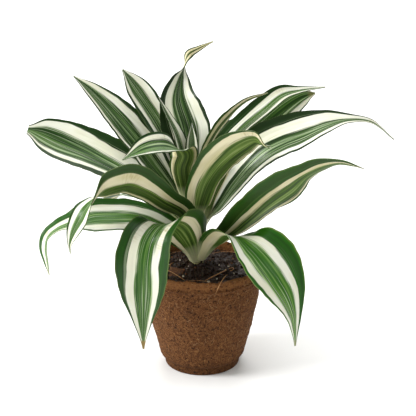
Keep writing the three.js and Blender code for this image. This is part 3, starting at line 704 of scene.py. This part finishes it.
@dataclass
class Foliage:
    """All the leaves, each one a thin waved blade that follows its midrib."""

    thickness: float = 0.55
    station: float = 1.5  # spacing of the cross-sections
    columns: int = 40
    clasp_angle: float = 70.0
    clasp_length: float = 0.25
    least_width: float = 1.0
    far_margin: float = 0.37  # how far the waves of one margin lead those of the other, in turns
    rib_height: float = 0.10
    ribs: float = 4.5  # fine lengthwise folds from the midrib to the margin
    frill: float = 0.8  # height of the small uneven ripples of the margins
    ragged: float = 0.035  # share of the half-width by which a margin stands in or out
    sheath_length: float = 24.0
    dry_length: float = 13.0
    fold_from: float = 0.025  # turn of the midrib, in radians for each mm, where creases begin
    fold_span: float = 0.03  # how much more turn gives full creases
    leaves: list[LeafShape] = field(default_factory=lambda: LEAVES)

    def build(self) -> None:
        """Builds and dresses every leaf."""
        # Each side has a shaded and a lit set of greens, painted shade and painted light, that every leaf
        # mixes by its own share.
        upper = LeafFinish(
            Side.UPPER,
            shaded=Greens(("#0f1e07", "#1f350f", "#4c6738", "#b0bd9b"), "#0f2104", "#0c1605"),
            lit=Greens(("#1c4a04", "#30630c", "#5a822f", "#a6bd86"), "#1e5602", "#6f8440"),
            cream=("#dfe0d1", "#d5d5bf"),
            roughness=0.34,
            hair=0.6,
        ).material()
        under = LeafFinish(
            Side.UNDER,
            shaded=Greens(("#1f2b06", "#364510", "#546426", "#8c965a"), "#223505", "#2b3812"),
            lit=Greens(("#1f3d07", "#345612", "#5b7c32", "#98ab68"), "#1d4c06", "#62763a"),
            cream=("#d2cbab", "#c1b98f"),
            roughness=0.44,
            hair=0.25,
        ).material()
        for number, leaf in enumerate(self.leaves):
            self.blade(leaf, number, (upper, under))

    def blade(self, leaf: LeafShape, number: int, skins: tuple[Material, ...]) -> None:
        """Builds one leaf from a grid that is laid along its midrib and given a thickness.

        Args:
            leaf: The leaf's values.
            number: Its place in the list, which varies its grain.
            skins: Materials of the upper side and the underside.
        """
        stations = np.array(leaf.midrib, float)
        length = self.arc_length(stations)[-1]
        rows = max(24, round(length / self.station))
        deselect()
        bpy.ops.mesh.primitive_grid_add(x_subdivisions=self.columns, y_subdivisions=rows, size=MM)
        piece = newest(f"{leaf.name}_blade")
        flat = read_points(piece)
        row = np.rint((flat[:, 1] + 0.5) * rows).astype(int)
        v = 2 * flat[:, 0]
        u = row / rows
        seed = 3.7 * number
        dried = (self.dry_length - (1 - u) * length) / (0.6 * self.dry_length)
        points, bend = self.surface(leaf, stations, row, rows, v, seed)
        place_points(piece, points)
        values = {
            "band": self.band(leaf, u, v),
            "along": u * length / 100,
            "leaf_seed": np.full(len(v), seed),
            # Painted light: how far the leaf's greens go from the shaded set to the lit set.
            "brightness": np.full(len(v), float(leaf.brightness)),
            "dryness": leaf.dry * np.clip(dried, 0, 1),
            "sheath": np.clip(1 - u * length / self.sheath_length, 0, 1),
            "crease": bend,
        }
        for name, numbers in values.items():
            store(piece, name, numbers)
        for skin in skins:
            piece.data.materials.append(skin)
        apply_modifier(piece, "SOLIDIFY", thickness=self.thickness * MM, offset=0, material_offset=1)
        finished(piece, Slot.LEAF, 50, nodes=(f"leaf_{leaf.name}",))

    @staticmethod
    def band(leaf: LeafShape, u: np.ndarray, v: np.ndarray) -> np.ndarray:
        """Gives where points lie across the bands.

        Args:
            leaf: The leaf's values.
            u: Share of the length at each point.
            v: Place across at each point, from -1 to 1.

        Returns:
            -1 to 1 from margin to margin; the centre ends at 1/3 and the cream at 2/3 on both sides.
        """
        table = np.array(leaf.bands)
        m0, c0, c1, m1 = (np.interp(u, table[:, 0], table[:, k]) for k in (1, 2, 3, 4))
        across = np.where(v < 0, v + 1, 1 - v) / 2
        margin, cream = np.where(v < 0, m0, m1), np.where(v < 0, c0, c1)
        middle = (m0 + c0 + 1 - m1 - c1) - 1  # the centre band's own middle
        reach = np.where(v < middle, middle + 1 - 2 * (m0 + c0), 1 - 2 * (m1 + c1) - middle)
        inside = (v - middle) / np.maximum(reach, 0.01)
        outside = np.interp(across / margin, [0, 1], [1, 2 / 3])
        between = 2 / 3 - (across - margin) / cream / 3
        sign = np.where(v < 0, -1, 1)
        within = np.where(across < margin + cream, sign * between, inside / 3)
        return np.where(across < margin, sign * outside, within)

    def arc_length(self, stations: np.ndarray) -> np.ndarray:
        """Gives the length along the midrib at 801 even steps of its parameter, in millimetres."""
        line = self.midrib(stations, np.linspace(0, 1, 801))
        return np.concatenate([[0], np.cumsum(np.linalg.norm(np.diff(line, axis=0), axis=1))])

    @staticmethod
    def midrib(stations: np.ndarray, t: np.ndarray) -> np.ndarray:
        """Gives points of the smooth line through the stations.

        Args:
            stations: The leaf's stations.
            t: Places from 0 to 1.

        Returns:
            One point for each place, in millimetres, on a centripetal Catmull-Rom line.
        """
        points = stations[:, :3]
        count = len(points)
        key = (count - 1) * t
        i = np.minimum(key.astype(int), count - 2)
        w = (key - i)[:, None]
        ends = np.vstack([2 * points[0] - points[1], points, 2 * points[-1] - points[-2]])
        p0, p1, p2, p3 = ends[i], ends[i + 1], ends[i + 2], ends[i + 3]

        def gap(a: np.ndarray, b: np.ndarray) -> np.ndarray:
            """Knot spacing: the square root of the distance."""
            return np.maximum(((a - b) ** 2).sum(-1) ** 0.25, 1e-4)[:, None]

        d0, d1, d2 = gap(p0, p1), gap(p1, p2), gap(p2, p3)
        slope1 = ((p1 - p0) / d0 - (p2 - p0) / (d0 + d1) + (p2 - p1) / d1) * d1
        slope2 = ((p2 - p1) / d1 - (p3 - p1) / (d1 + d2) + (p3 - p2) / d2) * d1
        cubic = 2 * p1 - 2 * p2 + slope1 + slope2
        square = -3 * p1 + 3 * p2 - 2 * slope1 - slope2
        return p1 + slope1 * w + square * w**2 + cubic * w**3

    def half_width(self, stations: np.ndarray, key: np.ndarray) -> np.ndarray:
        """Half the blade's width, on a smooth line through the stations' widths, in millimetres."""
        width = stations[:, 5]
        i = key.astype(int)
        s = key - i
        last = len(width) - 1
        before, start, end, after = (width[np.clip(i + k, 0, last)] for k in (-1, 0, 1, 2))
        slope0, slope1 = (end - before) / 2, (after - start) / 2
        cubic = (2 * start - 2 * end + slope0 + slope1) * s**3
        square = (3 * end - 3 * start - 2 * slope0 - slope1) * s**2
        return np.maximum(self.least_width, cubic + square + slope0 * s + start) / 2

    def surface(
        self, leaf: LeafShape, stations: np.ndarray, row: np.ndarray, rows: int, v: np.ndarray, seed: float
    ) -> tuple[np.ndarray, np.ndarray]:
        """Gives the blade's middle surface.

        Args:
            leaf: The leaf's values.
            stations: Its stations as an array.
            row: Row number of each point, from the base.
            rows: Number of the last row.
            v: Place of each point across, from -1 to 1.
            seed: Varies the uneven margins.

        Returns:
            The points in millimetres, and how sharply the blade is folded at each of them, from 0 to 1.
        """
        length = self.arc_length(stations)
        share = np.arange(rows + 1) / rows
        t = np.interp(share * length[-1], length, np.linspace(0, 1, len(length)))
        centre = self.midrib(stations, t)
        after, before = (self.midrib(stations, np.clip(t + step, 0, 1)) for step in (1e-4, -1e-4))
        ahead = after - before
        ahead /= np.linalg.norm(ahead, axis=1)[:, None]
        key = np.minimum(t * (len(stations) - 1), len(stations) - 1 - 1e-9)
        compass, tilt = np.radians(stations[:, 3]), np.radians(stations[:, 4])
        faces = np.stack([np.cos(tilt) * np.cos(compass), np.cos(tilt) * np.sin(compass), np.sin(tilt)], -1)
        i = key.astype(int)
        w = (key - i)[:, None]
        up = faces[i] * (1 - w) + faces[i + 1] * w
        up -= ahead * (up * ahead).sum(1)[:, None]
        up /= np.linalg.norm(up, axis=1)[:, None]
        side = np.cross(ahead, up)
        turn = np.linalg.norm(np.gradient(ahead, axis=0), axis=1) * rows / length[-1]  # radians for each mm
        u = share[row]
        open_share = np.clip(u / self.clasp_length, 0, 1)
        open_share = open_share**2 * (3 - 2 * open_share)
        gutter = np.radians(self.clasp_angle + (leaf.cup - self.clasp_angle) * open_share)
        height, count, start = leaf.wave
        lead = np.where(v > 0, self.far_margin, 0)
        grown = np.sin(math.pi * u)
        ripple = height * v**2 * grown * np.sin(math.tau * (count * u + start + lead))
        ripple += self.frill * v**4 * grown * wander(u, seed + lead)
        ripple += self.rib_height * grown * (1 - v**4) * np.cos(math.tau * self.ribs * v)
        half = self.half_width(stations, key)[row]
        half = half * (1 + self.ragged * v**2 * grown * wander(1.3 * u, seed + 2.3 * lead + 0.4))
        lift = half * (1 - np.cos(gutter * v)) / gutter
        sideways = half * np.sin(gutter * v) / gutter
        points = centre[row] + side[row] * sideways[:, None] + up[row] * (lift + ripple)[:, None]
        return points, np.clip((turn[row] - self.fold_from) / self.fold_span, 0, 1)


# ---------------------------------------------------------------- pot


@dataclass
class FibrePot:
    """The moulded fibre pot: a thin turned wall with a foot, a ridge under the lip and a fuzzy surface."""

    wall: float = 3.5
    steps: int = 400
    wobble: float = 0.35
    rim_wobble: float = 0.7
    fibres: int = 520
    rim_share: float = 0.28
    rim_from: float = 93.0
    lumps: tuple[Layer, ...] = ((0.45, 15, 0), (0.34, 5.2, 3.1), (0.36, 2.3, 7.7))
    rim_lumps: tuple[Layer, ...] = ((1.0, 6, 5.0), (1.0, 2.4, 9.0))
    outer: list[tuple[float, float]] = field(default_factory=lambda: [
        (33.4, 0), (34.2, 0.4), (34.5, 1.2), (35.0, 7.4), (35.8, 8.2), (37.2, 9), (38.6, 10.2), (39.3, 12),
        (40.5, 18), (46, 40), (51.5, 64), (53.9, 87.6), (54.2, 89.4), (55.2, 90.2), (55.3, 90.9),
        (54.4, 91.7), (54.5, 93), (54.8, 97.2), (54.5, 98.9), (53.6, 99.9), (52.6, 100.1), (51.7, 99.5)])
    inner: list[tuple[float, float]] = field(default_factory=lambda: [
        (51.3, 98), (50.7, 92), (50.4, 84)])
    hidden: list[tuple[float, float]] = field(default_factory=lambda: [
        (48, 64), (42.5, 40), (37, 16), (33.5, 4.6), (31, 4), (16, 4), (0, 4)])

    def build(self) -> None:
        """Builds and dresses the pot and its loose fibres."""
        pulp = FibreFinish().material()
        base = [(0.0, 0.0), (11.0, 0.0), (22.0, 0.0), (30.0, 0.0)]
        profile = base + walk(self.outer, 0.85) + walk(self.inner, 1.2) + self.hidden
        piece = turned("fibre_pot_shell", profile, self.steps)
        place_points(piece, np.array([self.roughened(p) for p in read_points(piece)]))
        finished(piece, Slot.FIBRE, 80, pulp, nodes=("fibre_pot",))
        self.loose_fibres()

    def roughened(self, point: np.ndarray) -> np.ndarray:
        """Moves one point of the wall out of round and gives it the felt's lumps.

        Args:
            point: The point in millimetres.

        Returns:
            Its new place.
        """
        x, y, z = point
        radius = math.hypot(x, y)
        if radius < 30 or z < 0.1:
            return point
        angle = math.atan2(y, x)
        share = min(1.0, z / 20)
        outside = 0.35 if self.is_inside(radius, z) else 1.0
        out = self.wobble * share * (math.sin(2 * angle + 0.6) + 0.6 * math.sin(5 * angle + z / 17))
        near_lip = math.exp(-(((z - 84) / 10) ** 2)) * (0.6 + 0.4 * math.cos(angle + 0.8))
        wrinkle = grain(np.array([x, y, z * 5 + 14 * math.sin(3 * angle)]), 13, 1.3)
        out += outside * share * (layered(point, self.lumps) + 1.1 * near_lip * wrinkle)
        lift = 0.0
        if z > self.rim_from:
            lift = self.rim_wobble * (0.6 * math.sin(3 * angle + 1) + 0.4 * math.sin(7 * angle + 2))
            lift += (z - self.rim_from) / 7 * layered(point, self.rim_lumps)
        scale = 1 + out / radius
        return np.array([x * scale, y * scale, z + lift])

    def is_inside(self, radius: float, z: float) -> bool:
        """Tells whether a point belongs to the inner face of the wall."""
        radii, heights = zip(*self.outer[:18])
        return radius < np.interp(z, heights, radii) - self.wall / 2

    def loose_fibres(self) -> None:
        """Lays short bent fibres on the wall and lets some stand from the lip."""
        draw = random.Random(7)
        rows = 5
        piece = rod("pot_fibres", 4, rows)
        shape = read_points(piece)
        apply_modifier(piece, "ARRAY", count=self.fibres)
        radii, heights = zip(*self.outer[3:18])
        placed = []
        for number in range(self.fibres):
            thick = draw.uniform(0.09, 0.17)
            angle = draw.uniform(0, math.tau)
            on_rim = number < self.rim_share * self.fibres
            z = draw.uniform(97, 99.5) if on_rim else 10 + 84 * math.sqrt(draw.random())
            long = draw.uniform(1.5, 3.5) if on_rim else draw.uniform(2.5, 8)
            heading, curl = draw.uniform(0, math.tau), draw.uniform(-1.2, 1.2)
            stand = draw.uniform(0.1, 0.8) if on_rim else 0.02
            for sx, sy, s in shape:
                turn = heading + curl * (s - 0.5)
                along, climb = long * (s - 0.5) * math.cos(turn), long * (s - 0.5) * math.sin(turn)
                if on_rim:
                    climb = stand * long * s
                here = angle + along / 50
                level = min(z + climb, 99.0)
                radius = float(np.interp(level, heights, radii))
                out = np.array([math.cos(here), math.sin(here), 0.0])
                spine = self.roughened(np.array([radius * out[0], radius * out[1], level]))
                aside = np.array([-out[1] * math.sin(turn), out[0] * math.sin(turn), -math.cos(turn)])
                taper = thick * (1 - 0.6 * abs(2 * s - 1) ** 3)
                offset = out * (taper * sx + 0.05 + stand * s * long * 0.3) + aside * taper * sy
                placed.append(spine + offset + np.array([0, 0, max(0.0, z + climb - level)]))
        place_points(piece, np.array(placed))
        fibre = GrainFinish("loose_wood_fibre", "#6e4b30", "#b08a62", 0.9 * MM, 0.95, 0.2).material()
        finished(piece, Slot.FIBRE, 60, fibre)


# ---------------------------------------------------------------- soil


@dataclass
class Soil:
    """Dark potting soil, mounded round the shoot, with crumbs, grains, a bark chip and strands on it."""

    edge_height: float = 91.0
    mound: float = 8.0
    mound_spread: float = 24.0
    centre: tuple[float, float] = (-4.0, 1.0)
    top_radius: float = 50.2
    steps: int = 260
    crumbs: int = 760
    peat_bits: int = 130
    grains: int = 16
    # Pale grains at the white specks on the soil: perlite, which also stands in for painted glints of light
    # on the wet soil.
    perlite_and_glint_spots: tuple[tuple[float, float], ...] = (
        (-13, -11), (15.3, -1), (18.9, 10), (-17, -22), (6, -30), (29, -12), (24, 2), (-33, -14))
    side: tuple[tuple[float, float], ...] = (
        (50.0, 84.0), (47.0, 64.0), (41.6, 40.0), (36.1, 16.0), (32.6, 4.4), (16, 4.4), (0, 4.4))

    def height(self, x: float, y: float) -> float:
        """Gives the soil's height at a place, in millimetres."""
        away = math.hypot(x - self.centre[0], y - self.centre[1])
        swell = self.mound * math.exp(-((away / self.mound_spread) ** 2))
        here = np.array([x, y, 0.0])
        clods = 1.6 * grain(here, 9, 2.0)
        for height, size, offset in ((2.0, 4.2, 4.0), (1.2, 1.9, 6.0)):
            clods += height * abs(grain(here, size, offset))
        return self.edge_height + swell + clods - 0.8

    def build(self) -> None:
        """Builds the soil and what lies on it."""
        earth = GrainFinish("moist_potting_soil", "#0d0602", "#3b200e", 1.2 * MM, 0.7, 1.0).material()
        self.ground(earth)
        draw = random.Random(4)
        self.scatter("soil_crumbs", self.places(self.crumbs, draw), (0.5, 2.6), 0.5, earth, draw)
        peat = GrainFinish("dry_peat", "#472b19", "#8a5c38", 1.0 * MM, 0.9, 0.7).material()
        self.scatter("peat_bits", self.places(self.peat_bits, draw), (0.5, 1.5), 0.3, peat, draw)
        # Pale perlite grains, which also serve as painted glints of light on the moist soil.
        pale = GrainFinish("perlite_and_painted_glints", "#b3a893", "#eee7d8", 0.8 * MM, 0.7).material()
        spread = [*self.perlite_and_glint_spots, *self.places(self.grains, draw)]
        self.scatter("perlite_and_glint_grains", spread, (0.9, 1.9), 0.2, pale, draw)
        self.bark_chip()
        self.strands()

    def places(self, count: int, draw: random.Random) -> list[tuple[float, float]]:
        """Draws places on the soil, each part of it alike."""
        places = []
        for _ in range(count):
            away, angle = (self.top_radius - 2) * math.sqrt(draw.random()), draw.uniform(0, math.tau)
            places.append((away * math.cos(angle), away * math.sin(angle)))
        return places

    def ground(self, earth: Material) -> None:
        """Builds the body of soil with its lumpy top."""
        top = walk([(0, self.edge_height), (self.top_radius, self.edge_height)], 0.75)
        piece = turned("soil_mass", [*top, *self.side], self.steps)
        points = read_points(piece)
        for p in points:
            if p[2] > self.edge_height - 1:
                p[2] = self.height(p[0], p[1])
        place_points(piece, points)
        finished(piece, Slot.SOIL, 70, earth, nodes=("potting_soil",))

    def scatter(
        self,
        name: str,
        places: list[tuple[float, float]],
        sizes: tuple[float, float],
        sink: float,
        material: Material,
        draw: random.Random,
    ) -> None:
        """Lays irregular lumps on the soil, as one piece.

        Args:
            name: The piece's name.
            places: Where each lump lies.
            sizes: Smallest and largest radius in millimetres; small ones are more frequent.
            sink: Share of a lump's radius that lies under the surface.
            material: Its finish.
            draw: Source of the random draw.
        """
        deselect()
        bpy.ops.mesh.primitive_uv_sphere_add(segments=8, ring_count=5, radius=MM, location=(0, 0, 0))
        piece = newest(name)
        shape = read_points(piece)
        apply_modifier(piece, "ARRAY", count=len(places))
        lumps = []
        for number, (x, y) in enumerate(places):
            size = sizes[0] + (sizes[1] - sizes[0]) * draw.random() ** 2.5
            axis = Vector((draw.uniform(-1, 1), draw.uniform(-1, 1), 1)).normalized()
            turn = Matrix.Rotation(draw.uniform(0, math.tau), 3, axis)
            stretch = np.array([draw.uniform(0.7, 1.2), draw.uniform(0.7, 1.2), draw.uniform(0.55, 0.95)])
            bumps = np.array([1 + 0.5 * grain(p, 0.8, number * 1.9) for p in shape])
            local = shape * bumps[:, None] * stretch * size @ np.array(turn).T
            lumps.append(local + np.array([x, y, self.height(x, y) + size * (1 - sink) * 0.5]))
        place_points(piece, np.concatenate(lumps))
        finished(piece, Slot.SOIL, 60, material)

    def bark_chip(self) -> None:
        """Builds the flat, fibrous chip of bark, with a broken outline, that leans left of the shoot."""
        deselect()
        bpy.ops.mesh.primitive_cube_add(size=1, location=(0, 0, 0))
        piece = newest("bark_chip")
        edit_all()
        bpy.ops.transform.resize(value=(13 * MM, 12 * MM, 2.4 * MM))
        bpy.ops.mesh.subdivide(number_cuts=11, smoothness=0)
        bpy.ops.object.mode_set(mode="OBJECT")
        points = read_points(piece)
        for p in points:
            edge = 1 - 0.5 * max(abs(p[0]) / 6.5, abs(p[1]) / 6) ** 6
            p[2] = p[2] * edge + 0.8 * grain(np.array([p[0] * 0.3, p[1], 0]), 2.2, 8.0)
            p[0] += 1.6 * grain(np.array([p[1], p[2], 1.0]), 2.5, 2.0)
            p[1] += 1.4 * grain(np.array([p[0], p[2], 5.0]), 3.0, 4.0)
        turn = Matrix.Rotation(math.radians(-14), 3, "Z") @ Matrix.Rotation(math.radians(26), 3, "X")
        points = points @ np.array(turn).T
        points += np.array([-23.0, -15.5, self.height(-23, -15.5) + 1.2])
        place_points(piece, points)
        bark = GrainFinish("weathered_bark", "#3d2517", "#7a5033", 1.4 * MM, 0.95, 0.9).material()
        finished(piece, Slot.SOIL, 40, bark)

    def strands(self) -> None:
        """Lays thin coir and root strands on the soil and over the lip."""
        coir = GrainFinish("coir_fibre", "#8f6038", "#cf9f6c", 1.6 * MM, 0.85, 0.3).material()
        routes: list[tuple[str, float, list[Point]]] = [
            ("long_strand", 0.55, [
                (3, -48.5, 101), (8, -39, 100), (14, -27, 97.5), (20, -15, 96), (28, -3, 94.5)]),
            ("lip_strand", 0.36, [
                (23, -24, 96), (21, -34, 99.5), (19, -46, 101.8), (17.2, -52.3, 102), (14.6, -55.5, 98),
                (11.8, -56.1, 91)]),
            ("curled_strand", 0.3, [
                (23, -8, 94), (28, -9, 97), (29.5, -15, 98.5), (26.5, -20, 98), (24.6, -17, 96.4),
                (26, -12, 95.5)]),
            ("left_strand", 0.34, [
                (-39, -8, 94.5), (-31, -16, 97), (-26, -26, 99), (-20, -35, 98.8), (-15, -39, 97)]),
            ("left_root", 0.28, [(-26, 5, 96), (-29.5, -1, 98), (-30, -7, 97.5), (-27.5, -12, 96)]),
            ("middle_root", 0.24, [(-12, -33, 94), (-4, -37, 96), (4, -36, 96), (9, -41, 95)]),
            ("back_strand", 0.3, [(8, 30, 94), (20, 36, 95.5), (33, 33, 95.5), (40, 24, 94)]),
            ("back_root", 0.26, [(-30, 30, 94), (-20, 38, 95.5), (-8, 36, 95), (2, 40, 94)]),
        ]
        for name, radius, route in routes:
            deselect()
            bpy.ops.curve.primitive_bezier_curve_add(location=(0, 0, 0))
            line = bpy.context.object
            line.name = name
            line.data.splines.clear()
            spline = line.data.splines.new("NURBS")
            spline.points.add(len(route) - 1)
            for point, place in zip(spline.points, route):
                point.co = (*(c * MM for c in place), 1)
            spline.points[0].radius = spline.points[-1].radius = 0.3
            spline.use_endpoint_u = True
            spline.order_u = 4
            spline.resolution_u = 10
            line.data.bevel_depth = radius * MM
            line.data.bevel_resolution = 2
            line.data.use_fill_caps = True
            choose(line)
            bpy.ops.object.convert(target="MESH")
            finished(newest(name), Slot.SOIL, 60, coir)


# ---------------------------------------------------------------- stem


@dataclass
class Stem:
    """The short shoot, ringed where older leaves grew."""

    bottom_radius: float = 6.0
    top_radius: float = 3.2
    rings: tuple[float, ...] = (99.0, 103.0, 107.5, 112.5, 118.0, 124.0, 131.0, 139.0)
    path: tuple[Point, ...] = ((-4, 1, 80), (-4, 1, 98), (-7, 2, 130), (-9, 3, 160), (-10, 4, 176))

    def build(self) -> None:
        """Builds and dresses the shoot from a rod that is laid along its path."""
        piece = rod("shoot", 40, 150)
        points = read_points(piece)
        stations = np.array([(*p, 0, 0, 0) for p in self.path], float)
        share = np.clip(points[:, 2], 0, 1)
        centre = Foliage.midrib(stations, share)
        scar = np.zeros(len(points))
        for height in self.rings:
            scar = np.maximum(scar, np.exp(-(((centre[:, 2] - height) / 0.45) ** 2)))
        radius = self.bottom_radius + (self.top_radius - self.bottom_radius) * share - 0.3 * scar
        centre[:, :2] += points[:, :2] * radius[:, None]
        place_points(piece, centre)
        store(piece, "scar", scar)
        finished(piece, Slot.SHOOT, 50, ShootFinish().material(), nodes=("stem",))


# ---------------------------------------------------------------- studio


@dataclass
class Studio:
    """A plain pale floor, soft light from above and the left, and the camera at the photo's angle."""

    elevation: float = 20.5
    distance: float = 1.25
    target: Point = (0.0054, 0.0, 0.151)
    half_view: float = 0.1872  # half the width seen at the target, in metres
    floor_size: float = 12.0

    def build(self) -> None:
        """Builds the studio."""
        self.floor()
        self.sky()
        self.lamp("key", (-1.7, -0.4, 1.1), 0.8, 50)
        self.lamp("fill", (1.4, -0.7, 1.0), 1.0, 5)
        self.lamp("top", (0.0, 0.3, 1.9), 1.4, 22)
        self.lamp("backdrop", (0.0, 3.4, 2.4), 2.4, 90, (0.0, 3.0, 0.0))
        self.camera()

    def floor(self) -> None:
        """Adds the floor."""
        deselect()
        bpy.ops.mesh.primitive_plane_add(size=self.floor_size, location=(0, 0, 0))
        floor = newest("floor")
        material, tree = new_material("matt_white_sweep")
        place = add_node(tree, "TexCoord").outputs["Object"]
        faint = speckle(tree, place, 0.3, 2.0)
        tone = ramp(tree, faint, [(0.3, "#f4f4f2"), (0.7, "#f7f7f6")])
        shade(tree, {"Base Color": tone, "Roughness": 0.9})
        floor.data.materials.append(material)

    def sky(self) -> None:
        """Sets even pale light all round."""
        world = bpy.data.worlds.new("soft_room")
        world.use_nodes = True
        background = world.node_tree.nodes["Background"]
        background.inputs["Color"].default_value = linear("#fbfbfa")
        background.inputs["Strength"].default_value = 0.5
        bpy.context.scene.world = world
        bpy.context.scene.view_settings.view_transform = "Standard"

    def lamp(self, name: str, place: Point, size: float, power: float, aim: Point | None = None) -> None:
        """Adds a soft square lamp.

        Args:
            name: The lamp's name.
            place: Its place in metres.
            size: Its side in metres.
            power: Its power in watts.
            aim: The place that it points at; without one, the plant.
        """
        deselect()
        bpy.ops.object.light_add(type="AREA", location=place)
        lamp = bpy.context.object
        lamp.name = name
        lamp.data.size = size
        lamp.data.energy = power
        way = Vector(aim or self.target) - Vector(place)
        lamp.rotation_euler = way.to_track_quat("-Z", "Y").to_euler()

    def camera(self) -> None:
        """Adds the camera."""
        tilt = math.radians(self.elevation)
        back = Vector((0, -math.cos(tilt), math.sin(tilt)))
        data = bpy.data.cameras.new("camera")
        camera = bpy.data.objects.new("camera", data)
        bpy.context.collection.objects.link(camera)
        camera.location = Vector(self.target) + back * self.distance
        camera.rotation_euler = (math.pi / 2 - tilt, 0, 0)
        data.sensor_width = 36
        data.lens = data.sensor_width / 2 * self.distance / self.half_view
        data.clip_end = 50
        bpy.context.scene.camera = camera


def main() -> None:
    """Builds the plant, its pot and the studio."""
    FibrePot().build()
    Soil().build()
    Stem().build()
    Foliage().build()
    Studio().build()


if __name__ == "__main__":
    main()
